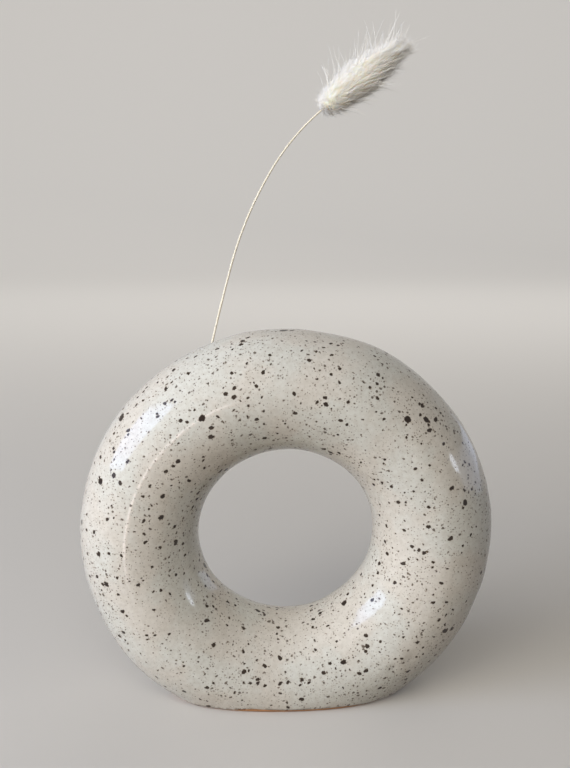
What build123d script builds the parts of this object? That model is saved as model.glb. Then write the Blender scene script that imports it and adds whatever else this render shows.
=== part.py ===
from build123d import *
import os
from math import atan2, cos, degrees, hypot, radians, sin, sqrt

# Donut vase of glazed stoneware holding one dried stem of bunny tail grass, in millimetres.
# The ring stands in the XZ plane on its flat foot, with its front at -Y and Z up.
# The origin is the middle of the foot.

# Overrun of every cut past the faces that it goes through
overrun = 10.0

# Ring, thrown as two walls that are closed on each other along a crest round the front face
ring_d = 180.0  # over the outside, as if the foot were not cut
tube_d = 51.5  # across the ring's hollow arm
foot_cut = 15.85  # taken off under the full circle to make the foot
foot_round = 1.2
wall_t = 5.0  # clay and glaze together
floor_t = 6.0  # clay between the foot and the cavity
crest_shift = 3.75  # how far the crest lies outside the middle of the arm
crest_rise = 1.2  # how far the crest stands out of the round section
join_shift = 1.5  # how far the join of the two walls lies inside the crest

# Glaze, which stops short of the foot
glaze_t = 0.4
glaze_edge_z = 1.8

# Mouth, a hole with a rounded lip on the left shoulder, turned to the back
mouth_d = 12.0
lip_round = 2.0
mouth_side_angle = 25.7  # left of the top, seen from the front
mouth_back_angle = 27.0  # behind the ring's middle plane

# Stem, which leans on the mouth's right side and rests on the cavity's lower left wall
stem_d = 1.1
stem_lean = 13.9  # to the right of upright
stem_round_angle = 30.0  # where it meets the lip, from the right side towards the back
mouth_gap = 0.3  # between the stem and the lip
rest_gap = 0.35  # between the stem's cut end and the wall, along the stem
stem_out = 12.0  # straight length above the lip's base

# Bends of the upper stem, each a length and how far it turns down to the right, in degrees
first_bend, first_turn = 27.0, 1.6
second_bend, second_turn = 45.0, 16.0
third_bend, third_turn = 32.2, 19.0

# Seed head, its outline drawn round three circles on its axis
head_length = 44.0
base_r = 7.2
middle_r = 8.8
tip_r = 5.6
middle_height_share = 0.44
head_sides = 20
section_shares = (0.02, 0.07, 0.16, 0.3, 0.44, 0.6, 0.75, 0.87, 0.94, 0.98)  # of its length
down_layer = 1.6  # the outer down, which carries the awns
soft_gap = 0.3  # between soft pieces and what they sit on
rachis_length_share = 0.8
rachis_tip_r = 0.3

# Awns, set round the head at an even turn from one to the next, leaning towards the tip
awn_count = 300
awn_turn = 137.508  # degrees
awn_root_r = 0.24
awn_tip_r = 0.07
awn_root_depth = 1.0
awn_length = 20.0  # the longest, near the head's base
awn_length_shares = (1.0, 0.45, 0.7, 0.35, 0.85, 0.5)
tip_length_share = 0.55  # length of those near the head's tip
lower_side_share = 0.6  # length of those on the head's lower side
first_awn_share, last_awn_share = 0.06, 0.95  # of the head's length
base_spread, tip_spread = 58.0, 32.0  # lean away from the head's axis, in degrees

# Ring, worked out
tube_r = tube_d / 2
ring_r = ring_d / 2 - tube_r  # to the middle of the arm
centre_z = ring_d / 2 - foot_cut
crest_r = ring_r + crest_shift
crest_depth = sqrt(tube_r**2 - crest_shift**2) + crest_rise
section_plane = Plane.XY.offset(centre_z)
ring_axis = Axis((0, 0, centre_z), (0, 1, 0))


def front_arc(reach):
    """Radius of the arc that leaves the ring's edge square and meets the crest a reach away."""
    return (reach**2 + crest_depth**2) / (2 * reach)


outer_arc_r = front_arc(ring_r + tube_r - crest_r)
inner_arc_r = front_arc(crest_r - ring_r + tube_r)
outer_arc_x = ring_r + tube_r - outer_arc_r
inner_arc_x = ring_r - tube_r + inner_arc_r


def section_line(inset):
    """Outline of the arm's section, an inset inside the glazed surface."""
    outer_r = outer_arc_r - inset
    inner_r = inner_arc_r - inset
    squares = outer_r**2 - inner_r**2 - outer_arc_x**2 + inner_arc_x**2
    corner_x = squares / (2 * (inner_arc_x - outer_arc_x))
    corner_y = -sqrt(outer_r**2 - (corner_x - outer_arc_x) ** 2)
    outer_turn = degrees(atan2(corner_y, corner_x - outer_arc_x))
    inner_turn = degrees(atan2(corner_y, corner_x - inner_arc_x))
    CenterArc((ring_r, 0), tube_r - inset, 0, 180)
    CenterArc((inner_arc_x, 0), inner_r, -180, 180 + inner_turn)
    CenterArc((outer_arc_x, 0), outer_r, outer_turn, -outer_turn)


# Mouth, worked out: its plane stands on the middle of the arm and looks out through the hole
side = radians(mouth_side_angle)
back = radians(mouth_back_angle)
mouth_r = mouth_d / 2
mouth_plane = Plane(
    origin=(-ring_r * sin(side), 0, centre_z + ring_r * cos(side)),
    x_dir=(cos(side), 0, sin(side)),
    z_dir=(-sin(side) * cos(back), sin(back), cos(side) * cos(back)),
)


def ring_form(inset):
    """The solid ring, an inset inside the glazed surface, with its mouth bored and its foot cut."""
    with BuildPart() as form:
        with BuildSketch(section_plane):
            with BuildLine():
                section_line(inset)
            make_face()
        revolve(axis=ring_axis)
        with BuildSketch(mouth_plane):
            Circle(mouth_r + inset)
        extrude(amount=tube_r + overrun, mode=Mode.SUBTRACT)
        lip = form.edges(Select.LAST).sort_by(Axis(mouth_plane.origin, mouth_plane.z_dir))[-1]
        fillet(lip, lip_round - inset)
        split(bisect_by=Plane.XY, keep=Keep.TOP)
    return form.part


glazed_form = ring_form(0)
clay_form = ring_form(glaze_t)

# Cavity, round the whole ring, with a level floor over the foot
with BuildPart() as cavity:
    with BuildSketch(section_plane):
        with BuildLine():
            section_line(wall_t)
        make_face()
    revolve(axis=ring_axis)
    split(bisect_by=Plane.XY.offset(floor_t), keep=Keep.TOP)

# Outer wall, with the foot and the mouth
with BuildPart() as outer_wall:
    add(clay_form)
    foot_edges = outer_wall.edges().group_by(Axis.Z)[0]
    fillet(foot_edges, foot_round)
    add(cavity.part, mode=Mode.SUBTRACT)
    with BuildSketch(Plane.XZ):
        with Locations((0, centre_z)):
            Circle(crest_r - join_shift)
    extrude(amount=tube_d, both=True, mode=Mode.SUBTRACT)

# Inner wall, round the hole
with BuildPart() as inner_wall:
    add(clay_form)
    add(cavity.part, mode=Mode.SUBTRACT)
    with BuildSketch(Plane.XZ):
        with Locations((0, centre_z)):
            Circle(crest_r - join_shift)
    extrude(amount=tube_d, both=True, mode=Mode.INTERSECT)

# Glaze, over both walls and down through the mouth
with BuildPart() as glaze_coat:
    add(glazed_form)
    add(clay_form, mode=Mode.SUBTRACT)
    add(cavity.part, mode=Mode.SUBTRACT)
    split(bisect_by=Plane.XY.offset(glaze_edge_z), keep=Keep.TOP)

# Stem, worked out: where it passes the lip, and how far down the cavity it reaches
lean = radians(stem_lean)
stem_r = stem_d / 2
stem_way = Vector(sin(lean), 0, cos(lean))
stem_side = Vector(cos(lean), 0, -sin(lean))
stem_round = radians(stem_round_angle)
lip_way = mouth_plane.x_dir * cos(stem_round) + mouth_plane.y_dir * sin(stem_round)
across = lip_way.dot(stem_way)
along = mouth_plane.z_dir.dot(stem_way)
lip_room = (lip_round + stem_r + mouth_gap) * hypot(across, along) / along
stem_pass = (
    mouth_plane.origin
    + mouth_plane.z_dir * (tube_r - lip_round)
    + lip_way * (mouth_r + lip_round - lip_room)
)
cavity_r = ring_r + sqrt((tube_r - wall_t) ** 2 - stem_pass.Y**2)
heel = stem_pass - stem_side * stem_r - Vector(0, stem_pass.Y, centre_z)
heel_run = heel.dot(stem_way)
stem_in = heel_run + sqrt(heel_run**2 - heel.dot(heel) + cavity_r**2) - rest_gap

# Lower stem, straight from its cut end to just above the mouth
with BuildPart() as stem_lower:
    with BuildSketch(Plane(stem_pass - stem_way * stem_in, x_dir=stem_side, z_dir=stem_way)):
        Circle(stem_r)
    extrude(amount=stem_in + stem_out)

# Upper stem, bending over to the right more and more
stem_top = stem_pass + stem_way * stem_out
with BuildPart() as stem_upper:
    with BuildLine(Plane.XZ.offset(-stem_pass.Y)) as stem_path:
        tip, way = (stem_top.X, stem_top.Z), (sin(lean), cos(lean))
        for length, turn in (
            (first_bend, first_turn),
            (second_bend, second_turn),
            (third_bend, third_turn),
        ):
            bend = JernArc(tip, way, length / radians(turn), -turn)
            tip, way = bend @ 1, bend % 1
    with BuildSketch(Plane(stem_top, x_dir=stem_side, z_dir=stem_way)):
        Circle(stem_r)
    sweep()

# Seed head, worked out: its plane stands on the stem's end and looks along the head
head_base = stem_path.wires()[0] @ 1
head_way = stem_path.wires()[0] % 1
head_side = Vector(0, 1, 0).cross(head_way)
head_plane = Plane(head_base, x_dir=head_side, z_dir=head_way)
middle_height = head_length * middle_height_share
tip_height = head_length - tip_r


def head_radius(height, inset=0):
    """Radius of the head's outline, drawn in by an inset, at a height over its base."""
    if height < base_r:
        return sqrt((base_r - inset) ** 2 - (base_r - height) ** 2)
    if height > tip_height:
        return sqrt((tip_r - inset) ** 2 - (height - tip_height) ** 2)
    if height < middle_height:
        share = (height - base_r) / (middle_height - base_r)
        return base_r + (middle_r - base_r) * share - inset
    share = (height - middle_height) / (tip_height - middle_height)
    return middle_r + (tip_r - middle_r) * share - inset


def head_form(inset):
    """The head's soft body, drawn in by an inset, as a stack of many-sided sections."""
    with BuildPart() as form:
        for share in section_shares:
            height = inset + (head_length - 2 * inset) * share
            with BuildSketch(head_plane.offset(height)):
                RegularPolygon(head_radius(height, inset), side_count=head_sides)
        loft(ruled=True)
    return form.part


rachis_length = head_length * rachis_length_share

# Rachis, the stem's thin end inside the head
with BuildPart() as rachis:
    with BuildSketch(head_plane):
        Circle(stem_r)
    with BuildSketch(head_plane.offset(rachis_length)):
        Circle(rachis_tip_r)
    loft()

# Inner down, round the rachis
with BuildPart() as seed_down:
    add(head_form(down_layer + soft_gap))
    with BuildSketch(head_plane):
        Circle(stem_r + soft_gap)
    extrude(amount=rachis_length + soft_gap, mode=Mode.SUBTRACT)


def awn(length):
    """One long thin three-sided bristle, standing on its root."""
    with BuildPart() as bristle:
        with BuildSketch():
            RegularPolygon(awn_root_r, side_count=3)
        with BuildSketch(Plane.XY.offset(length)):
            RegularPolygon(awn_tip_r, side_count=3)
        loft()
    return bristle.part


# Awns, fused to the outer down that carries them
with BuildPart() as seed_awns:
    add(head_form(0))
    add(head_form(down_layer), mode=Mode.SUBTRACT)
    with BuildSketch(head_plane):
        Circle(stem_r + soft_gap)
    extrude(amount=rachis_length, mode=Mode.SUBTRACT)
    awns = []
    for number in range(awn_count):
        climb = number / (awn_count - 1)
        height = head_length * (first_awn_share + (last_awn_share - first_awn_share) * climb)
        turn = radians(number * awn_turn)
        outward = head_side * cos(turn) + Vector(0, 1, 0) * sin(turn)
        spread = radians(base_spread + (tip_spread - base_spread) * climb)
        way = outward * sin(spread) + head_way * cos(spread)
        root = head_base + head_way * height + outward * (head_radius(height) - awn_root_depth)
        side_share = (1 + lower_side_share - (1 - lower_side_share) * cos(turn)) / 2
        climb_share = 1 + (tip_length_share - 1) * climb
        own_share = awn_length_shares[number % len(awn_length_shares)]
        length = awn_length * own_share * side_share * climb_share
        awns.append(awn(length).moved(Plane(root, z_dir=way).location))
    add(awns)

os.makedirs("parts", exist_ok=True)
pieces = {
    "outer_wall": outer_wall,
    "inner_wall": inner_wall,
    "glaze_coat": glaze_coat,
    "stem_lower": stem_lower,
    "stem_upper": stem_upper,
    "rachis": rachis,
    "seed_down": seed_down,
    "seed_awns": seed_awns,
}
for name, piece in pieces.items():
    piece.part.label = name
    export_step(piece.part, f"parts/{name}.step")
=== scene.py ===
from math import atan2, cos, pi, radians, sin, sqrt

import bmesh
import bpy
import numpy as np
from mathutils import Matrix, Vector


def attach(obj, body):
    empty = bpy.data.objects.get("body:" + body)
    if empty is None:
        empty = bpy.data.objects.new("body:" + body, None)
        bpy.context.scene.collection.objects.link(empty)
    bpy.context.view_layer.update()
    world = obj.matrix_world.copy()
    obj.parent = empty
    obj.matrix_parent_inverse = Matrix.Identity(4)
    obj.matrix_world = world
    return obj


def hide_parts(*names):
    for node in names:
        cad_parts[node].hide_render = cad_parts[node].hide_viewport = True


# Donut vase of speckled stoneware with one dried stem of bunny tail grass.
# The ring stands upright along X on its flat foot, with its front towards -Y.
# Sizes are in millimetres and turn to metres where a mesh is made.

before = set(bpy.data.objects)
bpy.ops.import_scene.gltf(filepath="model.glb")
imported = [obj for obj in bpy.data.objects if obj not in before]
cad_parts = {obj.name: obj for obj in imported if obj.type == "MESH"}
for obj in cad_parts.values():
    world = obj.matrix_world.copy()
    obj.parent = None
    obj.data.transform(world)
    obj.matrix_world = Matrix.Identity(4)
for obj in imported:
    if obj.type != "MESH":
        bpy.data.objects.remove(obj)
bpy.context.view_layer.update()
MM = 0.001

# Ring, as in the part's source
TUBE_R = 25.75
RING_R = 64.25
CENTRE_Z = 74.15
CREST_SHIFT = 3.75
CREST_RISE = 1.2
WALL_T = 5.0

# Crest, which was left sharp on the left limb; degrees run from the ring's top to the right
SHARP_FROM = (-112, -84)
SHARP_TO = (-27, -14)
SOFT_CREST = 0.15  # how far its edge is rounded over where it was wiped
SHARP_CREST = 0.03
BEAD_RISE = 0.12  # the glaze's thin bead along the sharp stretch
BEAD_WIDTH = 0.55
CREST_BAND = 2.4  # the finer mesh on each side of it
PALE_LINE_WIDTH = 0.8  # how far from it the pale line of thin glaze and painted highlight reaches

# Glaze skin
GLAZE_T = 0.35
GLAZE_EDGE_Z = 1.5
EDGE_WANDER = 0.4  # how far its edge runs up and down
EDGE_FADE = 1.5  # how far above the edge this dies out
EDGE_ROLL = 0.12  # how thick it gathers over its edge
ROLL_SIZE = 0.7
DEEPEST_DENT = 0.26  # so that the clay stays under the glaze
GRID_AROUND = 400
GRID_NEAR_CREST = 17
GRID_OVER_ARM = 103

# Mouth, as in the part's source
MOUTH_R = 6.0
LIP_ROUND = 2.0
MOUTH_SIDE = radians(25.7)
MOUTH_BACK = radians(27.0)
PATCH_R = 10.5  # the finer mesh round the lip

# Stem, as in the part's source
STEM_PASS = np.array([-32.8666, 12.8977, 151.924])
STEM_LEAN = radians(13.9)
STEM_IN = 129.43
STEM_OUT = 12.0
STEM_BENDS = ((27.0, radians(1.6)), (45.0, radians(16.0)), (32.2, radians(19.0)))
STEM_R = 0.55
STEM_TOP_R = 0.42
CULM_SIDES = 14
CULM_RIDGE = 0.03  # its lengthwise ridges, as a share of its radius
CULM_SLACK = 0.03  # how much thinner it is than its solid, to keep the ridges inside
CULM_JOINTS = (38.0, 101.0)  # heights of the grass's joints
JOINT_RISE = 0.1
JOINT_SIZE = 1.1
WAIST_DEPTH = 0.04  # the culm's waist just over a joint
WAIST_SIZE = 1.3
WAIST_OVER = 2.2

# Seed head, as in the part's source
HEAD_LENGTH = 44.0
BASE_R = 7.2
MIDDLE_R = 8.8
TIP_R = 5.6
MIDDLE_HEIGHT = 0.44 * HEAD_LENGTH
TIP_HEIGHT = HEAD_LENGTH - TIP_R
DOWN_FULLNESS = 0.94  # how much of the head's radius the dense down fills
TIP_FULLNESS = 0.84  # and at its loose tip
TIP_SAG = 1.5  # how far the tip of the down nods to the lower side
DOWN_DEPTH = 2.2  # how deep under its surface the down is rooted
TUFT_HAIRS = 4
ROOT_TONE = 0.65  # how pale a hair's root is beside its tip
TAPER = 0.8  # the share of its thickness that a hair loses up to its tip
DOWN_T = 0.07  # real down is about 0.02 thick, drawn coarser so that it shows
AWN_T = 0.19  # real awns are about 0.08 thick, drawn coarser so that they show
AWNS = 210
DOWN_SPREAD = 27  # degrees that it leans out from the head's axis on the lower side
BASE_SPREAD = 120  # and at the base, back round the stem
AWN_SPREAD = 48
LONG_SHARE = 0.15  # of the tufts are longer than the rest

# Packed spikelets inside the down
CORE_BASE = 0.6
CORE_LENGTH = HEAD_LENGTH - 3.6
CORE_DEPTH = 1.9  # how deep they lie under the down's surface
CORE_CLOSES = 35.5  # the height from which they round over to the tip
CLOSING_LENGTH = 5.6
CORE_GRID = (90, 96)  # rings up it and points round it
HUSKS = 150
HUSK_LENGTH = 2.2
HUSK_WIDTH = 1.2
HUSK_RISE = 0.35

GOLDEN_TURN = radians(137.508)


def new_object(name, data):
    """An object in the scene that holds a mesh, a lamp or a camera."""
    made = bpy.data.objects.new(name, data)
    bpy.context.scene.collection.objects.link(made)
    return made


def mesh_piece(name, points, faces, body):
    """A smooth mesh of points in millimetres that rides on a body."""
    mesh = bpy.data.meshes.new(name)
    mesh.from_pydata((np.asarray(points) * MM).tolist(), [], faces)
    mesh.shade_smooth()
    piece = new_object(name, mesh)
    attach(piece, body)
    return piece


def swell(points, size, seed):
    """A smooth uneven field, about -1 to 1, whose swells are a size across."""
    rng = np.random.default_rng(seed)
    waves = 20
    ways = rng.normal(size=(waves, 3))
    ways /= np.linalg.norm(ways, axis=1, keepdims=True)
    turns = 2 * pi / (size * rng.uniform(0.8, 1.7, waves))
    starts = rng.uniform(0, 2 * pi, waves)
    total = np.zeros(len(points))
    for way, turn, start in zip(ways, turns, starts):
        total += np.sin(points @ way * turn + start)
    return total / sqrt(waves)


def bump_at(points, centre, size):
    """A round soft bump that is 1 at its centre and fades over a size."""
    away = np.linalg.norm(points - np.array(centre), axis=1)
    return np.exp(-((away / size) ** 2))


def eased(value, low, high):
    """0 below a low value, 1 above a high one, and smooth between."""
    share = np.clip((value - low) / (high - low), 0, 1)
    return share * share * (3 - 2 * share)


# Ring of glaze


crest_depth = sqrt(TUBE_R**2 - CREST_SHIFT**2) + CREST_RISE
crest_turn = atan2(-crest_depth, CREST_SHIFT) + 2 * pi
crest_reach = sqrt(crest_depth**2 + CREST_SHIFT**2)


def crest_share(around):
    """1 on the left limb, where the closing seam was left sharp, and 0 where it was wiped."""
    degrees = (np.degrees(around) + 180) % 360 - 180
    return eased(degrees, *SHARP_FROM) * (1 - eased(degrees, *SHARP_TO))


def arm_reach(around, turn):
    """How far the glaze lies from the middle of the arm; a turn of 0 faces out, pi / 2 back."""
    reaches = []
    for reach, way in ((TUBE_R - CREST_SHIFT, 1), (TUBE_R + CREST_SHIFT, -1)):
        arc_r = (reach**2 + crest_depth**2) / (2 * reach)
        arc_x = way * (TUBE_R - arc_r)
        reaches.append(arc_x * np.cos(turn) + np.sqrt(arc_r**2 - (arc_x * np.sin(turn)) ** 2))
    sharp = crest_share(around)
    softness = SOFT_CREST + (SHARP_CREST - SOFT_CREST) * sharp
    front = -softness * np.logaddexp(-reaches[0] / softness, -reaches[1] / softness)
    bead = BEAD_RISE * sharp * (1 + 0.5 * np.sin(around * 61) * np.sin(around * 37 + 1))
    front += bead * np.exp(-(((turn - crest_turn) * crest_reach / BEAD_WIDTH) ** 2))
    return np.where(np.sin(turn) < 0, front, TUBE_R)


def ring_points(around, turn):
    """Points on the glaze, around the ring from its top towards the right."""
    reach = arm_reach(around, turn)
    radius = RING_R + reach * np.cos(turn)
    x = radius * np.sin(around)
    z = CENTRE_Z + radius * np.cos(around)
    return np.stack([x, reach * np.sin(turn), z], axis=-1)


mouth_way = np.array(
    [-sin(MOUTH_SIDE) * cos(MOUTH_BACK), sin(MOUTH_BACK), cos(MOUTH_SIDE) * cos(MOUTH_BACK)]
)
mouth_base = np.array([-RING_R * sin(MOUTH_SIDE), 0, CENTRE_Z + RING_R * cos(MOUTH_SIDE)])
mouth_x = np.array([cos(MOUTH_SIDE), 0, sin(MOUTH_SIDE)])
mouth_y = np.cross(mouth_way, mouth_x)
mouth_top = mouth_base + mouth_way * TUBE_R

# Soft bulges that hands left, each a height, a size across and a seed
BULGES = ((0.26, 52, 3), (0.12, 21, 4), (0.035, 8, 5))
BULGE_LIFT = 0.12  # keeps more of them out than in

# Dents that thumbs left low on the right and high on it, each a place, a width and a depth
DENTS = (
    ((52.3, -24.7, 25.5), 3.0, 0.5),
    ((44.6, -25.2, 20.8), 2.6, 0.45),
    ((36.7, -24.3, 32.2), 3.2, 0.4),
    ((54.3, -17.7, 11.4), 7.0, 0.5),
    ((64.5, -8.4, 134.9), 3.0, 0.5),
)
RIM_WIDTH = 2.2  # the low rim pushed up round a dent, as a share of the dent's width
RIM_HEIGHT = 0.5  # and of its depth


def hand_marks(points):
    """How far the hand-shaped surface stands out of the true form at each point."""
    marks = np.full(len(points), BULGE_LIFT)
    for height, size, seed in BULGES:
        marks += height * swell(points, size, seed)
    for place, width, depth in DENTS:
        marks += RIM_HEIGHT * depth * bump_at(points, place, RIM_WIDTH * width)
        marks -= (1 + RIM_HEIGHT) * depth * bump_at(points, place, width)
    marks = np.maximum(marks, -DEEPEST_DENT)
    # True again at the lip and at the foot
    marks *= 1 - bump_at(points, mouth_top, size=15)
    marks *= eased(points[:, 2], low=1, high=12)
    rolled_edge = np.exp(-(((points[:, 2] - GLAZE_EDGE_Z - ROLL_SIZE) / ROLL_SIZE) ** 2))
    return marks + EDGE_ROLL * rolled_edge


def from_mouth_axis(angles, radius):
    """Ways straight out from the mouth's axis, a radius long."""
    return radius * (np.outer(np.cos(angles), mouth_x) + np.outer(np.sin(angles), mouth_y))


def mouth_height(angles, radius, reach):
    """How far along the mouth's axis the arm's round surface lies, by halving."""
    side = from_mouth_axis(angles, radius)
    low = np.zeros(len(angles))
    high = np.full(len(angles), 2.0 * TUBE_R)
    for _ in range(40):
        middle = (low + high) / 2
        place = mouth_base + side + middle[:, None] * mouth_way
        from_axis = np.hypot(place[:, 0], place[:, 2] - CENTRE_Z)
        outside = np.hypot(from_axis - RING_R, place[:, 1]) > reach
        high = np.where(outside, middle, high)
        low = np.where(outside, low, middle)
    return low


def mouth_loop(angles, radius, height):
    """A loop of points about the mouth's axis."""
    return mouth_base + from_mouth_axis(angles, radius) + height[:, None] * mouth_way


def mouth_loops(angles):
    """The loops from the patch's edge over the lip and down the bore, widest first."""
    even = np.sort(angles)[0] + np.arange(len(angles)) * 2 * pi / len(angles)
    lip_height = mouth_height(even, MOUTH_R + LIP_ROUND, TUBE_R)
    loops = []
    # In over the arm to the lip
    for share in (0.0, 0.35, 0.7, 1.0):
        radius = PATCH_R + (MOUTH_R + LIP_ROUND - PATCH_R) * share
        mixed = angles + (even - angles) * share
        loops.append(mouth_loop(mixed, radius, mouth_height(mixed, radius, TUBE_R)))
    # Round the lip
    for turn in np.radians([12, 24, 36, 48, 60, 72, 84, 90]):
        radius = MOUTH_R + LIP_ROUND * (1 - sin(turn))
        loops.append(mouth_loop(even, radius, lip_height - LIP_ROUND * (1 - cos(turn))))
    # Down the bore
    bore_top = lip_height - LIP_ROUND
    bore_end = mouth_height(even, MOUTH_R, TUBE_R - WALL_T)
    for share in (0.3, 0.65, 1.0):
        loops.append(mouth_loop(even, MOUTH_R, bore_top + (bore_end - bore_top) * share))
    return loops


def open_mouth(mesh):
    """Cuts the grid back round the mouth and builds the lip and the bore into it."""
    inside = set()
    for vert in mesh.verts:
        away = np.array(vert.co) - mouth_base
        along = away @ mouth_way
        if along > 0 and np.linalg.norm(away - along * mouth_way) < PATCH_R:
            inside.add(vert)
    cut = [face for face in mesh.faces if any(vert in inside for vert in face.verts)]
    bmesh.ops.delete(mesh, geom=cut, context="FACES")
    bmesh.ops.delete(mesh, geom=[v for v in mesh.verts if not v.link_faces], context="VERTS")

    def angle(vert):
        away = np.array(vert.co) - mouth_base
        return atan2(away @ mouth_y, away @ mouth_x)

    rim = sorted((v for v in mesh.verts if v.is_boundary), key=angle)
    angles = np.array([angle(vert) for vert in rim])
    loops = mouth_loops(angles)
    for vert, place in zip(rim, loops[0]):
        vert.co = place
    last = rim
    for loop in loops[1:]:
        now = [mesh.verts.new(place) for place in loop]
        for i in range(len(now)):
            after = (i + 1) % len(now)
            mesh.faces.new((last[i], last[after], now[after], now[i]))
        last = now


def ring_grid():
    """A closed mesh of the whole ring, finer near the crest."""
    near = crest_turn + np.linspace(-CREST_BAND, CREST_BAND, GRID_NEAR_CREST) / crest_reach
    far = np.linspace(near[-1], near[0] + 2 * pi, GRID_OVER_ARM + 2)[1:-1]
    turns = np.concatenate([near, far]) % (2 * pi)
    count = len(turns)
    arounds = np.arange(GRID_AROUND) * 2 * pi / GRID_AROUND
    around, turn = np.meshgrid(arounds, turns, indexing="ij")
    mesh = bmesh.new()
    verts = [mesh.verts.new(point) for point in ring_points(around.ravel(), turn.ravel())]
    for i in range(GRID_AROUND):
        here, beside = i * count, (i + 1) % GRID_AROUND * count
        for j in range(count):
            above = (j + 1) % count
            corners = (here + j, here + above, beside + above, beside + j)
            mesh.faces.new([verts[corner] for corner in corners])
    return mesh


def thin_glaze_and_painted_highlight(places):
    """1 along the sharp crest, fading to 0 beside it: where the glaze runs thin, and where a
    highlight is painted in as a paler line.
    """
    from_centre = np.hypot(places[:, 0], places[:, 2] - CENTRE_Z)
    from_crest = from_centre - RING_R - CREST_SHIFT
    thin_and_highlit = np.exp(-((from_crest / PALE_LINE_WIDTH) ** 2)) * (places[:, 1] < 0)
    return thin_and_highlit * crest_share(np.arctan2(places[:, 0], places[:, 2] - CENTRE_Z))


def glaze_skin():
    """The glaze, one thin skin from its edge above the foot to the inner end of the mouth."""
    mesh = ring_grid()
    open_mouth(mesh)
    bmesh.ops.bisect_plane(
        mesh,
        geom=[*mesh.verts, *mesh.edges, *mesh.faces],
        dist=0.01,
        plane_co=(0, 0, GLAZE_EDGE_Z),
        plane_no=(0, 0, 1),
        clear_inner=True,
    )
    bmesh.ops.recalc_face_normals(mesh, faces=mesh.faces)
    mesh.verts.ensure_lookup_table()
    mesh.normal_update()
    places = np.array([vert.co for vert in mesh.verts])
    normals = np.array([vert.normal for vert in mesh.verts])
    places = places + normals * hand_marks(places)[:, None]
    edge = np.exp(-np.maximum(places[:, 2] - GLAZE_EDGE_Z, 0) / EDGE_FADE)
    places[:, 2] += EDGE_WANDER * edge * swell(places, size=13, seed=6)
    for vert, place in zip(mesh.verts, places):
        vert.co = place * MM
    data = bpy.data.meshes.new("glaze_skin")
    mesh.to_mesh(data)
    mesh.free()
    data.shade_smooth()
    # Marks the crest for the material's pale line: glaze running thin and a painted highlight
    thin_and_highlit = data.attributes.new("thin_glaze_and_painted_highlight", "FLOAT", "POINT")
    thin_and_highlit.data.foreach_set("value", thin_glaze_and_painted_highlight(places))
    piece = new_object("glaze_skin", data)
    thickness = piece.modifiers.new("thickness", "SOLIDIFY")
    thickness.thickness = GLAZE_T * MM
    thickness.offset = -1
    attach(piece, "vase")
    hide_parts("glaze_coat")
    return piece


# Stem


def closed_faces(rings, sides):
    """Faces of a closed body that is built of rings of points, with a cap at each end."""
    faces = [tuple(range(sides))[::-1]]
    for low in range(0, (rings - 1) * sides, sides):
        high = low + sides
        for j in range(sides):
            after = (j + 1) % sides
            faces.append((low + j, low + after, high + after, high + j))
    top = (rings - 1) * sides
    faces.append(tuple(range(top, top + sides)))
    return faces


def tube(line, radii, sides, ridge):
    """Points and faces of a closed round tube along a line, its sides ridged by a share."""
    line = np.asarray(line, float)
    ways = np.gradient(line, axis=0)
    ways /= np.linalg.norm(ways, axis=1, keepdims=True)
    across = np.cross(ways, (0, 1, 0))
    across /= np.linalg.norm(across, axis=1, keepdims=True)
    beside = np.cross(ways, across)
    angles = np.arange(sides) * 2 * pi / sides
    grooves = 1 + ridge * np.where(np.arange(sides) % 2, -1, 1)
    points = []
    for place, one, two, radius in zip(line, across, beside, radii):
        ring = np.outer(np.cos(angles), one) + np.outer(np.sin(angles), two)
        points.append(place + ring * (radius * grooves)[:, None])
    return np.concatenate(points), closed_faces(len(line), sides)


stem_way = np.array([sin(STEM_LEAN), 0, cos(STEM_LEAN)])
stem_foot = STEM_PASS - stem_way * STEM_IN
stem_top = STEM_PASS + stem_way * STEM_OUT


def culm_radius(height, joints):
    """The culm's radius at a height, with a low swelling and a waist at each joint."""
    radius = STEM_R * np.ones_like(height)
    for joint in joints:
        radius += JOINT_RISE * np.exp(-(((height - joint) / JOINT_SIZE) ** 2))
        radius -= WAIST_DEPTH * np.exp(-(((height - joint - WAIST_OVER) / WAIST_SIZE) ** 2))
    return radius


def culm_lower():
    """The straight culm inside the vase, cut off square at its foot."""
    height = np.linspace(0, STEM_IN + STEM_OUT, 150)
    line = stem_foot + height[:, None] * stem_way
    radii = culm_radius(height, CULM_JOINTS) - CULM_SLACK
    points, faces = tube(line, radii, CULM_SIDES, CULM_RIDGE)
    piece = mesh_piece("culm_lower", points, faces, "culm")
    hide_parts("stem_lower")
    return piece


def stem_line():
    """The bending stem's middle line, from the vase's mouth to the seed head."""
    place, angle = stem_top.copy(), STEM_LEAN
    line = [place.copy()]
    for length, turn in STEM_BENDS:
        steps = int(length)
        for _ in range(steps):
            angle += turn / steps / 2
            place = place + np.array([sin(angle), 0, cos(angle)]) * length / steps
            angle += turn / steps / 2
            line.append(place.copy())
    return np.array(line), angle


upper_line, head_angle = stem_line()
head_base = upper_line[-1]
head_way = np.array([sin(head_angle), 0, cos(head_angle)])
head_side = np.array([cos(head_angle), 0, -sin(head_angle)])
head_back = np.array([0.0, 1.0, 0.0])


def culm_upper():
    """The thin bending culm in the open, which runs a little way into the seed head."""
    line = np.concatenate([upper_line, [head_base + head_way * s for s in (1.0, 2.0, 3.0)]])
    share = np.linspace(0, 1, len(line))
    radii = (STEM_R - CULM_SLACK) + (STEM_TOP_R - STEM_R) * share
    points, faces = tube(line, radii, CULM_SIDES, CULM_RIDGE)
    piece = mesh_piece("culm_upper", points, faces, "sprig")
    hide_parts("stem_upper")
    return piece


# Seed head


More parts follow.
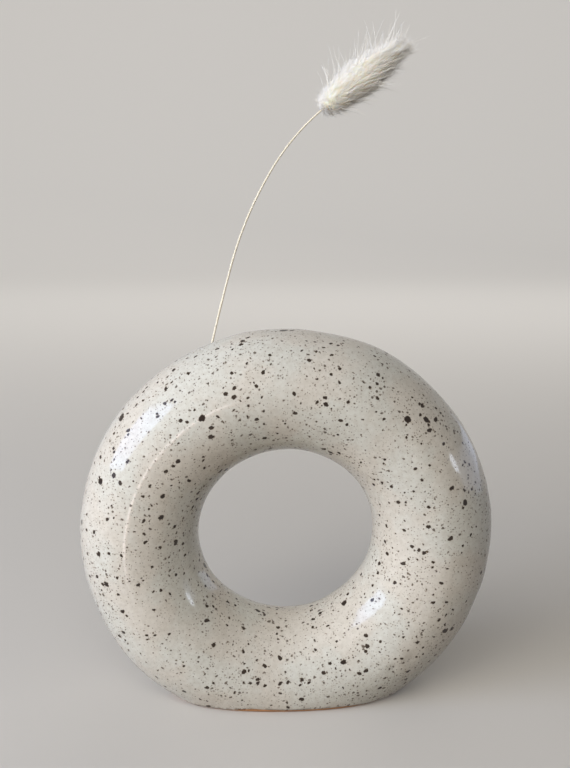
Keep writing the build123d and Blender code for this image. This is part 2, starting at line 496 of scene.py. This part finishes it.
def head_radius(height):
    """The head's radius at each height over its base."""
    low = np.sqrt(np.maximum(BASE_R**2 - (BASE_R - height) ** 2, 0))
    high = np.sqrt(np.maximum(TIP_R**2 - (height - TIP_HEIGHT) ** 2, 0))
    sides = np.interp(height, (BASE_R, MIDDLE_HEIGHT, TIP_HEIGHT), (BASE_R, MIDDLE_R, TIP_R))
    return np.where(height < BASE_R, low, np.where(height > TIP_HEIGHT, high, sides))


def down_radius(height):
    """The radius that the dense down fills at each height over the head's base."""
    loose = eased(height, 0.45 * HEAD_LENGTH, HEAD_LENGTH)
    return head_radius(height) * (DOWN_FULLNESS + (TIP_FULLNESS - DOWN_FULLNESS) * loose)


def out_of_head(turn):
    """Ways straight out from the head's axis at a turn about it; 0 is its lower side."""
    return np.cos(turn)[..., None] * head_side + np.sin(turn)[..., None] * head_back


def head_point(height, turn, radius):
    """Points at a height over the head's base, a turn about its axis and a radius from it."""
    sag = TIP_SAG * (height / HEAD_LENGTH) ** 2
    axis = head_base + height[..., None] * head_way + sag[..., None] * head_side
    return axis + radius[..., None] * out_of_head(turn)


def spikelet_core():
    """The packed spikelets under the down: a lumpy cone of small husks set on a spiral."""
    height = CORE_BASE + CORE_LENGTH * np.linspace(0.0, 1.0, CORE_GRID[0])
    turn = np.arange(CORE_GRID[1]) * 2 * pi / CORE_GRID[1]
    heights, turns = np.meshgrid(height, turn, indexing="ij")
    deeper_at_base = 0.8 * (1 - eased(heights, 2, 9))
    radius = np.maximum(down_radius(heights) - CORE_DEPTH - deeper_at_base, 0.2)
    husks = np.zeros_like(radius)
    for number in range(HUSKS):
        climb = 3.5 + (HEAD_LENGTH - 7) * number / (HUSKS - 1)
        swing = (turns - number * GOLDEN_TURN + pi) % (2 * pi) - pi
        away = ((heights - climb) / HUSK_LENGTH) ** 2 + (swing * radius / HUSK_WIDTH) ** 2
        husks = np.maximum(husks, np.exp(-away))
    closing = np.clip((heights - CORE_CLOSES) / CLOSING_LENGTH, 0, 1)
    radius = (radius + HUSK_RISE * husks - 0.1) * np.sqrt(1 - closing**2)
    points = head_point(heights.ravel(), turns.ravel(), np.maximum(radius, 0.15).ravel())
    faces = closed_faces(*CORE_GRID)
    piece = mesh_piece("spikelet_core", points, faces, "sprig")
    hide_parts("seed_down")
    return piece


def fur_lean(roots):
    """How the normals of hairs lean so that light lies on them as on soft fur: outwards on the
    head's upper side, as its own surface does, and a little upwards below."""
    climb = np.clip((roots - head_base) @ head_way, BASE_R, TIP_HEIGHT)
    outward = roots - head_base - climb[:, None] * head_way
    outward /= np.linalg.norm(outward, axis=1, keepdims=True)
    upper = np.maximum(-outward @ head_side, 0.02)[:, None]
    return outward * upper + 0.3 * (1 - upper) * np.array([0.0, 0.0, 1.0])


def hair_faces(count, steps):
    """Faces of closed three-sided hairs, each with a foot, its sides and a pointed tip."""
    per = steps * 3 + 1
    pattern = [(2, 1, 0)]
    for k in range(steps - 1):
        for j in range(3):
            after = (j + 1) % 3
            pattern.append((k * 3 + j, k * 3 + after, k * 3 + 3 + after, k * 3 + 3 + j))
    last = (steps - 1) * 3
    pattern += [(last + j, last + (j + 1) % 3, per - 1) for j in range(3)]
    return [tuple(i + s * per for i in face) for s in range(count) for face in pattern]


def strands(name, roots, ways, lengths, bends, tones, thickness, steps):
    """Fine closed three-sided hairs, each on its root, tapering and bending as it grows. A
    hair's tone is 0 for straw and 1 for white, and each is a little darker at its root."""
    count = len(roots)
    share = np.arange(steps) / steps
    lines = (
        roots[:, None]
        + ways[:, None] * (lengths[:, None] * share)[..., None]
        + bends[:, None] * (lengths[:, None] * share**2)[..., None]
    )
    tips = roots + (ways + bends) * lengths[:, None]
    one = np.cross(ways, head_back + 0.01)
    one /= np.linalg.norm(one, axis=1, keepdims=True)
    two = np.cross(ways, one)
    radii = thickness / 2 * (1 - TAPER * share**1.5)
    lean = fur_lean(roots)
    rings, leans = [], []
    for angle in (0, 2 * pi / 3, 4 * pi / 3):
        out = cos(angle) * one + sin(angle) * two
        rings.append(lines + out[:, None] * radii[None, :, None])
        leans.append(np.repeat((lean + 0.4 * out)[:, None], steps, axis=1))
    body = np.stack(rings, axis=2).reshape(count, steps * 3, 3)
    points = np.concatenate([body, tips[:, None]], axis=1).reshape(-1, 3)
    normals = np.stack(leans, axis=2).reshape(count, steps * 3, 3)
    normals = np.concatenate([normals, lean[:, None]], axis=1).reshape(-1, 3)
    normals /= np.linalg.norm(normals, axis=1, keepdims=True)
    piece = mesh_piece(name, points, hair_faces(count, steps), "sprig")
    piece.data.normals_split_custom_set_from_vertices(normals.tolist())
    along = np.append(np.repeat(ROOT_TONE + (1 - ROOT_TONE) * share, 3), 1.0)
    shade = (np.asarray(tones)[:, None] * along).ravel()
    piece.data.attributes.new("hair_tone_and_shade", "FLOAT", "POINT").data.foreach_set("value", shade)
    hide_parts("seed_awns")
    return piece


def hair_ways(turn, spread, unevenness, rng):
    """Ways that hairs point, each leaning out from the head's axis by a spread."""
    ways = np.sin(spread)[:, None] * out_of_head(turn) + np.cos(spread)[:, None] * head_way
    ways += rng.normal(0, unevenness, ways.shape)
    return ways / np.linalg.norm(ways, axis=1, keepdims=True)


def heights_on_head(first, last, count, rng):
    """Heights over the head's base, drawn so that they cover its surface evenly."""
    height = np.linspace(first, last, 400) * HEAD_LENGTH
    radius = down_radius(height)
    area = np.cumsum(radius * np.hypot(np.gradient(height), np.gradient(radius)))
    return np.interp(rng.uniform(0, area[-1], count), area, height)


def down_hairs(name, first, last, count, seed):
    """Soft down over one stretch of the head, in small tufts whose hairs close up to a point.
    They are combed towards the tip, stand up more on the head's upper side, and turn back
    round the stem at the base. About one in seven is longer than the rest."""
    rng = np.random.default_rng(seed)
    height = heights_on_head(first, last, count, rng)
    turn = rng.uniform(0, 2 * pi, count)
    climb = height / HEAD_LENGTH
    upper = (1 - np.cos(turn)) / 2
    low = 1 - eased(climb, 0.0, 0.2)
    spread = DOWN_SPREAD + 25 * upper + 6 * eased(climb, 0.8, 1) + rng.normal(0, 8, count)
    spread = np.radians(spread + (BASE_SPREAD - spread) * low)
    ways = hair_ways(turn, spread, 0.08, rng)
    # As long as it takes to come up to the down's surface at their lean
    lengths = rng.normal(DOWN_DEPTH, 0.35, count) / np.maximum(np.sin(spread), 0.3)
    lengths = np.minimum(lengths * (1.3 - 0.25 * upper) * (1 + 0.15 * low), 6.5)
    longer = rng.uniform(0, 1, count) < LONG_SHARE
    lengths *= np.where(longer, rng.uniform(1.1, 1.7, count), 1)
    lengths *= 1 - 0.35 * eased(climb, 0.7, 1)
    depth = np.maximum(down_radius(height) - DOWN_DEPTH, 0.2)
    roots = head_point(height, turn, depth)
    tips = roots + ways * lengths[:, None]
    # Tone is random, but paler on the head's upper side and at its base and darker straw below:
    # painted light and shade
    tones = rng.uniform(0, 1, count) ** 0.45 * (0.6 + 0.4 * np.sqrt(np.maximum(upper, low)))
    bends = rng.normal(0, 0.07, ways.shape) + 0.08 * head_way

    # The hairs of a tuft start apart round its root and close up at its tip
    each = np.repeat(np.arange(count), TUFT_HAIRS)
    number = len(each)
    roots = head_point(
        height[each] + rng.normal(0, 0.4, number),
        turn[each] + rng.normal(0, 0.4, number) / np.maximum(depth[each], 1.0),
        depth[each],
    )
    ways = tips[each] + rng.normal(0, 0.35, roots.shape) - roots
    lengths = np.linalg.norm(ways, axis=1)
    ways /= lengths[:, None]
    lengths *= rng.uniform(0.75, 1.12, number)
    tones = np.clip(tones[each] + rng.normal(0, 0.12, number), 0, 1)
    piece = strands(name, roots, ways, lengths, bends[each], tones, DOWN_T, steps=3)
    return piece


def long_awns():
    """The long fine awns that stand out of the down, longer and wider spread on the head's
    upper side, and closing up towards its tip."""
    rng = np.random.default_rng(21)
    number = np.arange(AWNS)
    climb = number / (AWNS - 1)
    height = HEAD_LENGTH * (0.08 + 0.84 * climb)
    turn = number * GOLDEN_TURN + rng.normal(0, 0.15, AWNS)
    upper = (1 - np.cos(turn)) / 2
    roots = head_point(height, turn, np.maximum(head_radius(height) - 3.0, 0.2))
    spread = AWN_SPREAD + 12 * upper - 30 * climb + rng.normal(0, 9, AWNS)
    ways = hair_ways(turn, np.radians(spread), 0.06, rng)
    lengths = rng.uniform(6, 17, AWNS) * (0.75 + 0.25 * upper) * (1 - 0.3 * climb) + 2
    bends = rng.normal(0, 0.1, ways.shape) - 0.1 * head_way * (1 - climb)[:, None]
    tones = rng.uniform(0.3, 1, AWNS)
    piece = strands("long_awns", roots, ways, lengths, bends, tones, AWN_T, steps=8)
    return piece


# Materials


def colour(hex_value):
    """An sRGB hex colour, turned to linear."""
    channels = [int(hex_value[i : i + 2], 16) / 255 for i in (1, 3, 5)]
    linear = [c / 12.92 if c <= 0.04045 else ((c + 0.055) / 1.055) ** 2.4 for c in channels]
    return (*linear, 1.0)


def add(tree, kind, inputs, **settings):
    """A node of a kind with its settings; each input is a value or another node's output."""
    made = tree.nodes.new(kind)
    for name, value in settings.items():
        setattr(made, name, value)
    for name, value in inputs.items():
        if isinstance(value, bpy.types.NodeSocket):
            tree.links.new(value, made.inputs[name])
        else:
            made.inputs[name].default_value = value
    return made


def new_material(name):
    """An empty material and its tree."""
    material = bpy.data.materials.new(name)
    material.use_nodes = True
    material.node_tree.nodes.clear()
    return material, material.node_tree


def dress(material, *pieces):
    """Gives pieces one material."""
    for piece in pieces:
        piece.data.materials.clear()
        piece.data.materials.append(material)


def per_metre(size):
    """A texture's scale for a pattern of a size in millimetres."""
    return 1 / (size * MM)


# Sockets of a Mix node that mixes colours, which share their names with others of its own
MIX_A, MIX_B, MIX_RESULT = 6, 7, 2

# Iron specks, in millimetres: from the fine dust of the clay to the few large blots. Each
# has its spacing, its reach, the share of places left empty, its raggedness, how far its brown
# bleeds into the glaze, and how strongly it colours
SPECKS = (
    dict(spacing=1.0, reach=0.28, empty=0.1, ragged=0.3, bleed=0.15, strength=0.55),
    dict(spacing=1.9, reach=0.55, empty=0.42, ragged=0.5, bleed=0.15, strength=0.7),
    dict(spacing=3.1, reach=0.95, empty=0.3, ragged=0.9, bleed=0.15, strength=0.95),
    dict(spacing=8.5, reach=1.9, empty=0.5, ragged=1.5, bleed=0.16, strength=1.0),
)
SPECK_SLIMNESS = 0.32  # how much longer than wide the specks are, 0 for round
CHIP = 0.35  # how far the specks' corners stand out, in millimetres


def clouded_cream(tree, place):
    """The glaze's cream ground, in cloudy patches with a fine mottle, and paler along the sharp
    crest, partly where it runs thin and partly as a painted highlight."""
    cloud = {"Vector": place, "Scale": per_metre(24), "Detail": 3.0}
    clouds = add(tree, "ShaderNodeTexNoise", cloud).outputs["Fac"]
    ramp = {"Value": clouds, "From Min": 0.4, "From Max": 0.6}
    patch = add(tree, "ShaderNodeMapRange", ramp, interpolation_type="SMOOTHSTEP").outputs[0]
    mix = {0: patch, MIX_A: colour("#d1cabe"), MIX_B: colour("#d1cfc5")}
    ground = add(tree, "ShaderNodeMix", mix, data_type="RGBA").outputs[MIX_RESULT]
    cloud = {"Vector": place, "Scale": per_metre(2.2), "Detail": 3.0, "Roughness": 0.7}
    grain = add(tree, "ShaderNodeTexNoise", cloud).outputs["Fac"]
    ramp = {"Value": grain, "From Min": 0.38, "From Max": 0.66, "To Max": 0.38}
    mottle = add(tree, "ShaderNodeMapRange", ramp).outputs[0]
    mix = {0: mottle, MIX_A: ground, MIX_B: colour("#b3aa9b")}
    ground = add(tree, "ShaderNodeMix", mix, data_type="RGBA").outputs[MIX_RESULT]
    # Paler along the sharp crest: partly glaze running thin, partly a painted highlight, broken
    # up by the grain
    thin_and_highlit = add(tree, "ShaderNodeAttribute", {}, attribute_name="thin_glaze_and_painted_highlight").outputs["Fac"]
    ramp = {"Value": grain, "From Min": 0.4, "From Max": 0.62, "To Min": 0.15}
    broken_up = add(tree, "ShaderNodeMapRange", ramp).outputs[0]
    thin_and_highlit = add(tree, "ShaderNodeMath", {0: thin_and_highlit, 1: broken_up}, operation="MULTIPLY").outputs[0]
    mix = {0: thin_and_highlit, MIX_A: ground, MIX_B: colour("#efe5da")}
    return add(tree, "ShaderNodeMix", mix, data_type="RGBA").outputs[MIX_RESULT]


def speck_depth(tree, place, speck, crowded, chip):
    """How far inside the edge of a speck each point lies, below 0 between the specks."""
    wander = {"Vector": place, "Scale": per_metre(speck["reach"] * 2.5), "Detail": 2.0}
    wander = add(tree, "ShaderNodeTexNoise", wander).outputs["Color"]
    shift = {0: wander, 1: (speck["ragged"] * MM,) * 3, 2: place}
    shifted = add(tree, "ShaderNodeVectorMath", shift, operation="MULTIPLY_ADD").outputs[0]
    cells = {"Vector": shifted, "Scale": per_metre(speck["spacing"])}
    cells = add(tree, "ShaderNodeTexVoronoi", cells)
    draw = cells.outputs["Color"]
    chance = add(tree, "ShaderNodeSeparateColor", {0: draw}).outputs[0]
    away = {0: shifted, 1: cells.outputs["Position"]}
    away = add(tree, "ShaderNodeVectorMath", away, operation="SUBTRACT").outputs[0]
    lean = {0: draw, 1: (0.5, 0.5, 0.5)}
    lean = add(tree, "ShaderNodeVectorMath", lean, operation="SUBTRACT").outputs[0]
    lean = add(tree, "ShaderNodeVectorMath", {0: lean}, operation="NORMALIZE").outputs[0]
    along = add(tree, "ShaderNodeVectorMath", {0: away, 1: lean}, operation="DOT_PRODUCT")
    lean = {0: lean, "Scale": along.outputs["Value"]}
    lean = add(tree, "ShaderNodeVectorMath", lean, operation="SCALE").outputs[0]
    slim = {0: lean, 1: (-SPECK_SLIMNESS,) * 3, 2: away}
    slim = add(tree, "ShaderNodeVectorMath", slim, operation="MULTIPLY_ADD").outputs[0]
    off = add(tree, "ShaderNodeVectorMath", {0: slim}, operation="LENGTH").outputs["Value"]
    spread = {"Value": chance, "From Min": speck["empty"], "To Max": speck["reach"] * MM}
    spread = add(tree, "ShaderNodeMapRange", spread).outputs[0]
    spread = {0: spread, 1: crowded, 2: chip}
    spread = add(tree, "ShaderNodeMath", spread, operation="MULTIPLY_ADD").outputs[0]
    return add(tree, "ShaderNodeMath", {0: spread, 1: off}, operation="SUBTRACT").outputs[0]


def speckled_glaze():
    """Glossy feldspar glaze over iron-bearing stoneware, fired in a gas kiln. It reads as warm
    cream with cloudy pinkish and greyish patches and ragged dark brown iron specks from dust
    to blots, and it is paler along the sharp crest, where it runs thin and where a highlight is
    painted in."""
    material, tree = new_material("speckled_stoneware_glaze")
    place = add(tree, "ShaderNodeTexCoord", {}).outputs["Object"]
    ground = clouded_cream(tree, place)
    cloud = {"Vector": place, "Scale": per_metre(17), "Detail": 2.0}
    crowd = add(tree, "ShaderNodeTexNoise", cloud).outputs["Fac"]
    ramp = {"Value": crowd, "From Min": 0.38, "From Max": 0.62, "To Min": 0.65, "To Max": 1.08}
    crowded = add(tree, "ShaderNodeMapRange", ramp).outputs[0]
    chips = {"Vector": place, "Scale": per_metre(0.7)}
    chips = add(tree, "ShaderNodeTexVoronoi", chips).outputs["Distance"]
    chip = {0: chips, 1: CHIP * MM, 2: -0.4 * CHIP * MM}
    chip = add(tree, "ShaderNodeMath", chip, operation="MULTIPLY_ADD").outputs[0]
    cores = []
    for speck in SPECKS:
        depth = speck_depth(tree, place, speck, crowded, chip)
        ramp = {"Value": depth, "From Min": -speck["bleed"] * MM, "From Max": 0.1 * MM}
        ramp["To Max"] = 0.7 * speck["strength"]
        halo = add(tree, "ShaderNodeMapRange", ramp).outputs[0]
        ramp = {"Value": depth, "From Max": 0.12 * MM, "To Max": speck["strength"]}
        cores.append(add(tree, "ShaderNodeMapRange", ramp).outputs[0])
        mix = {0: halo, MIX_A: ground, MIX_B: colour("#88735d")}
        ground = add(tree, "ShaderNodeMix", mix, data_type="RGBA").outputs[MIX_RESULT]
        mix = {0: cores[-1], MIX_A: ground, MIX_B: colour("#281c14")}
        ground = add(tree, "ShaderNodeMix", mix, data_type="RGBA").outputs[MIX_RESULT]
    relief = cores[0]
    for core in cores[1:]:
        deeper = {0: relief, 1: core}
        relief = add(tree, "ShaderNodeMath", deeper, operation="MAXIMUM").outputs[0]
    cloud = {"Vector": place, "Scale": per_metre(7), "Detail": 2.0}
    peel = add(tree, "ShaderNodeTexNoise", cloud).outputs["Fac"]
    swells = {"Height": peel, "Distance": 0.06 * MM, "Strength": 1.0}
    swells = add(tree, "ShaderNodeBump", swells).outputs[0]
    pits = {"Height": relief, "Distance": 0.03 * MM, "Strength": 0.6, "Normal": swells}
    pits = add(tree, "ShaderNodeBump", pits, invert=True).outputs[0]
    ramp = {"Value": relief, "To Min": 0.11, "To Max": 0.28}
    roughness = add(tree, "ShaderNodeMapRange", ramp).outputs[0]
    shader = {"Base Color": ground, "Roughness": roughness, "IOR": 1.52, "Normal": pits}
    shader = add(tree, "ShaderNodeBsdfPrincipled", shader).outputs[0]
    add(tree, "ShaderNodeOutputMaterial", {"Surface": shader})
    return material


def bare_stoneware():
    """Unglazed stoneware, wiped clean of glaze: toasted orange-brown, dull and gritty."""
    material, tree = new_material("toasted_bare_stoneware")
    place = add(tree, "ShaderNodeTexCoord", {}).outputs["Object"]
    cloud = {"Vector": place, "Scale": per_metre(9), "Detail": 3.0}
    clouds = add(tree, "ShaderNodeTexNoise", cloud).outputs["Fac"]
    mix = {0: clouds, MIX_A: colour("#b47d55"), MIX_B: colour("#daa577")}
    clay = add(tree, "ShaderNodeMix", mix, data_type="RGBA").outputs[MIX_RESULT]
    grit = {"Vector": place, "Scale": per_metre(0.9)}
    grit = add(tree, "ShaderNodeTexVoronoi", grit).outputs["Distance"]
    ramp = {"Value": grit, "From Min": 0.1, "From Max": 0.25, "To Min": 0.45, "To Max": 0.0}
    dark = add(tree, "ShaderNodeMapRange", ramp).outputs[0]
    mix = {0: dark, MIX_A: clay, MIX_B: colour("#4f3524")}
    clay = add(tree, "ShaderNodeMix", mix, data_type="RGBA").outputs[MIX_RESULT]
    bumps = {"Height": grit, "Distance": 0.12 * MM, "Strength": 0.7}
    bumps = add(tree, "ShaderNodeBump", bumps).outputs[0]
    shader = {"Base Color": clay, "Roughness": 0.85, "IOR": 1.5, "Normal": bumps}
    shader = add(tree, "ShaderNodeBsdfPrincipled", shader).outputs[0]
    add(tree, "ShaderNodeOutputMaterial", {"Surface": shader})
    return material


def dried_straw():
    """A dried grass culm: pale straw with lengthwise fibres and a faint waxy shine. Real fibres
    are about 0.1 mm apart, drawn coarser here so that they show."""
    material, tree = new_material("dried_grass_straw")
    place = add(tree, "ShaderNodeTexCoord", {}).outputs["Object"]
    fibre = {0: place, 1: (1.0, 1.0, 0.03)}
    fibre = add(tree, "ShaderNodeVectorMath", fibre, operation="MULTIPLY").outputs[0]
    cloud = {"Vector": fibre, "Scale": per_metre(0.35), "Detail": 2.0}
    fibres = add(tree, "ShaderNodeTexNoise", cloud).outputs["Fac"]
    mix = {0: fibres, MIX_A: colour("#d6c9ab"), MIX_B: colour("#f6efdf")}
    straw = add(tree, "ShaderNodeMix", mix, data_type="RGBA").outputs[MIX_RESULT]
    grooves = {"Height": fibres, "Distance": 0.05 * MM, "Strength": 0.6}
    grooves = add(tree, "ShaderNodeBump", grooves).outputs[0]
    shader = {"Base Color": straw, "Roughness": 0.45, "IOR": 1.5, "Normal": grooves}
    shader = add(tree, "ShaderNodeBsdfPrincipled", shader).outputs[0]
    add(tree, "ShaderNodeOutputMaterial", {"Surface": shader})
    return material


def grass_hair(name, straw, white, roughness):
    """Dried plant hair: dry and silky, each hair its own tone between straw and white, which
    gives the head its fine streaks; the down is also paler on the head's upper side and base
    and darker straw below, as painted light and shade."""
    material, tree = new_material(name)
    tone = add(tree, "ShaderNodeAttribute", {}, attribute_name="hair_tone_and_shade").outputs["Fac"]
    mix = {0: tone, MIX_A: colour(straw), MIX_B: colour(white)}
    hair = add(tree, "ShaderNodeMix", mix, data_type="RGBA").outputs[MIX_RESULT]
    shader = {"Base Color": hair, "Roughness": roughness, "IOR": 1.5}
    shader["Sheen Weight"] = 1.0
    shader["Sheen Roughness"] = 0.6
    shader = add(tree, "ShaderNodeBsdfPrincipled", shader).outputs[0]
    add(tree, "ShaderNodeOutputMaterial", {"Surface": shader})
    return material


def packed_spikelets():
    """Papery husks under the down, which light passes through, so that the head glows warm
    between its hairs and on its shaded side."""
    material, tree = new_material("bunny_tail_spikelets")
    place = add(tree, "ShaderNodeTexCoord", {}).outputs["Object"]
    cloud = {"Vector": place, "Scale": per_metre(1.6), "Detail": 2.0}
    clouds = add(tree, "ShaderNodeTexNoise", cloud).outputs["Fac"]
    ramp = {"Value": clouds, "From Min": 0.35, "From Max": 0.65}
    share = add(tree, "ShaderNodeMapRange", ramp).outputs[0]
    mix = {0: share, MIX_A: colour("#f4e7cb"), MIX_B: colour("#fdf7ea")}
    husk = add(tree, "ShaderNodeMix", mix, data_type="RGBA").outputs[MIX_RESULT]
    shader = {"Base Color": husk, "Roughness": 0.7, "IOR": 1.5}
    shader["Subsurface Weight"] = 0.85
    shader["Subsurface Radius"] = (1.0, 0.8, 0.55)
    shader["Subsurface Scale"] = 7.0 * MM
    shader = add(tree, "ShaderNodeBsdfPrincipled", shader).outputs[0]
    add(tree, "ShaderNodeOutputMaterial", {"Surface": shader})
    return material


def seen_ray(tree):
    """1 for rays that the camera sees straight, mirrored or through glass, 0 for light."""
    ray = add(tree, "ShaderNodeLightPath", {})
    seen = {0: ray.outputs["Is Camera Ray"], 1: ray.outputs["Is Glossy Ray"]}
    seen = add(tree, "ShaderNodeMath", seen, operation="MAXIMUM").outputs[0]
    seen = {0: seen, 1: ray.outputs["Is Transmission Ray"]}
    return add(tree, "ShaderNodeMath", seen, operation="MAXIMUM").outputs[0]


def studio_paper():
    """Matt studio paper, which is seen pale to its far end, where no lamp reaches it, and
    bounces less light than it shows."""
    material, tree = new_material("pale_studio_paper")
    place = add(tree, "ShaderNodeTexCoord", {}).outputs["Object"]
    depth = add(tree, "ShaderNodeSeparateXYZ", {0: place}).outputs[1]
    seen = seen_ray(tree)
    far = {"Value": depth, "From Max": 1.4, "To Min": 0.1, "To Max": 0.55}
    far = add(tree, "ShaderNodeMapRange", far, interpolation_type="SMOOTHSTEP").outputs[0]
    glow = add(tree, "ShaderNodeMath", {0: seen, 1: far}, operation="MULTIPLY").outputs[0]
    mix = {0: seen, MIX_A: colour("#938a7e"), MIX_B: colour("#bfbab2")}
    paper = add(tree, "ShaderNodeMix", mix, data_type="RGBA").outputs[MIX_RESULT]
    shader = {"Base Color": paper, "Roughness": 0.9}
    shader["Emission Color"] = colour("#e6e3df")
    shader["Emission Strength"] = glow
    shader = add(tree, "ShaderNodeBsdfPrincipled", shader).outputs[0]
    add(tree, "ShaderNodeOutputMaterial", {"Surface": shader})
    return material


# Pieces

glaze = glaze_skin()
straight_culm = culm_lower()
bent_culm = culm_upper()
core = spikelet_core()
down = [
    down_hairs("down_lower", first=0.005, last=0.36, count=1300, seed=11),
    down_hairs("down_middle", first=0.34, last=0.66, count=700, seed=12),
    down_hairs("down_upper", first=0.64, last=0.99, count=720, seed=13),
]
awns = long_awns()

dress(speckled_glaze(), glaze)
dress(bare_stoneware(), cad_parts["outer_wall"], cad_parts["inner_wall"])
dress(dried_straw(), straight_culm, bent_culm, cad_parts["rachis"])
dress(packed_spikelets(), core)
dress(grass_hair("bunny_tail_down", "#f3e5c9", "#ffffff", 0.6), *down)
dress(grass_hair("bunny_tail_awn", "#efe3c8", "#fffdf6", 0.5), awns)


# Studio, in metres

PAPER_FRONT = 3.0
PAPER_BACK = 1.6
PAPER_CURVE = 0.8
PAPER_HEIGHT = 4.0
PAPER_SIDE = 4.0
LAMPS_FACE = Vector((0, 0, 0.1))


def sweep_of_paper():
    """A floor that rises behind the vase in one curve."""
    profile = [(-PAPER_FRONT, 0.0), (PAPER_BACK, 0.0)]
    for turn in np.radians(np.arange(6, 91, 6)):
        profile.append((PAPER_BACK + PAPER_CURVE * sin(turn), PAPER_CURVE * (1 - cos(turn))))
    profile.append((PAPER_BACK + PAPER_CURVE, PAPER_HEIGHT))
    points = [(x, y, z) for y, z in profile for x in (-PAPER_SIDE, PAPER_SIDE)]
    faces = [(2 * i, 2 * i + 1, 2 * i + 3, 2 * i + 2) for i in range(len(profile) - 1)]
    mesh = bpy.data.meshes.new("paper_sweep")
    mesh.from_pydata(points, [], faces)
    mesh.shade_smooth()
    piece = new_object("paper_sweep", mesh)
    return piece


dress(studio_paper(), sweep_of_paper())


def softbox(name, place, size, watts, hex_value, mirrored=True):
    """A soft rectangular lamp that faces the vase; one that isn't mirrored leaves no
    highlight."""
    lamp = bpy.data.lights.new(name, "AREA")
    lamp.shape = "RECTANGLE"
    lamp.size, lamp.size_y = size
    lamp.energy = watts
    lamp.color = colour(hex_value)[:3]
    holder = new_object(name, lamp)
    holder.location = place
    way = LAMPS_FACE - Vector(place)
    holder.rotation_euler = way.to_track_quat("-Z", "Y").to_euler()
    holder.visible_camera = False
    holder.visible_glossy = mirrored
    return holder


softbox("window", (-1.0, -0.33, 0.54), (0.62, 0.6), 5.8, "#b9d1ff")
softbox("window_glow", (-1.15, -0.72, 0.5), (1.3, 1.0), 17.2, "#fffdf9", mirrored=False)
softbox("room_fill", (-0.35, -1.15, 1.15), (1.5, 1.0), 12.2, "#fffcf8", mirrored=False)
softbox("ceiling_bounce", (0, 0.1, 1.5), (1.6, 1.6), 1.0, "#fffaf4")
softbox("back_fill", (0.35, 1.1, 1.0), (1.4, 1.0), 4.0, "#fffcf8", mirrored=False)
softbox("side_strip", (1.1, 0.3, 0.15), (1.5, 0.28), 1.3, "#cfdfff")
softbox("far_window", (1.86, -0.68, 0.34), (0.24, 0.2), 1.2, "#e6f0ff")

# The air past the paper's edges, seen as pale as the paper while it gives little light
world = bpy.data.worlds.new("studio_air")
bpy.context.scene.world = world
world.use_nodes = True
world.node_tree.nodes.clear()
ramp = {"Value": seen_ray(world.node_tree), "To Min": 0.05, "To Max": 0.45}
glow = add(world.node_tree, "ShaderNodeMapRange", ramp).outputs[0]
air = {"Color": colour("#e9e6e1"), "Strength": glow}
air = add(world.node_tree, "ShaderNodeBackground", air).outputs[0]
add(world.node_tree, "ShaderNodeOutputWorld", {"Surface": air})

# Camera, at the photograph's place: it looks a little down and to the right
CAMERA_PLACE = (-0.0194, -0.4386, 0.2371)
CAMERA_DOWN = radians(12.40)
CAMERA_RIGHT = radians(2.47)
FOCAL_PIXELS = 1050
LONG_SIDE_PIXELS = 768
SENSOR_WIDTH = 36.0

camera = new_object("camera", bpy.data.cameras.new("camera"))
camera.data.sensor_width = SENSOR_WIDTH
camera.data.lens = SENSOR_WIDTH * FOCAL_PIXELS / LONG_SIDE_PIXELS
camera.data.clip_start = 0.01
camera.location = CAMERA_PLACE
gaze = Vector(
    (
        sin(CAMERA_RIGHT) * cos(CAMERA_DOWN),
        cos(CAMERA_RIGHT) * cos(CAMERA_DOWN),
        -sin(CAMERA_DOWN),
    )
)
camera.rotation_euler = gaze.to_track_quat("-Z", "Y").to_euler()
bpy.context.scene.camera = camera
bpy.context.scene.view_settings.view_transform = "Standard"
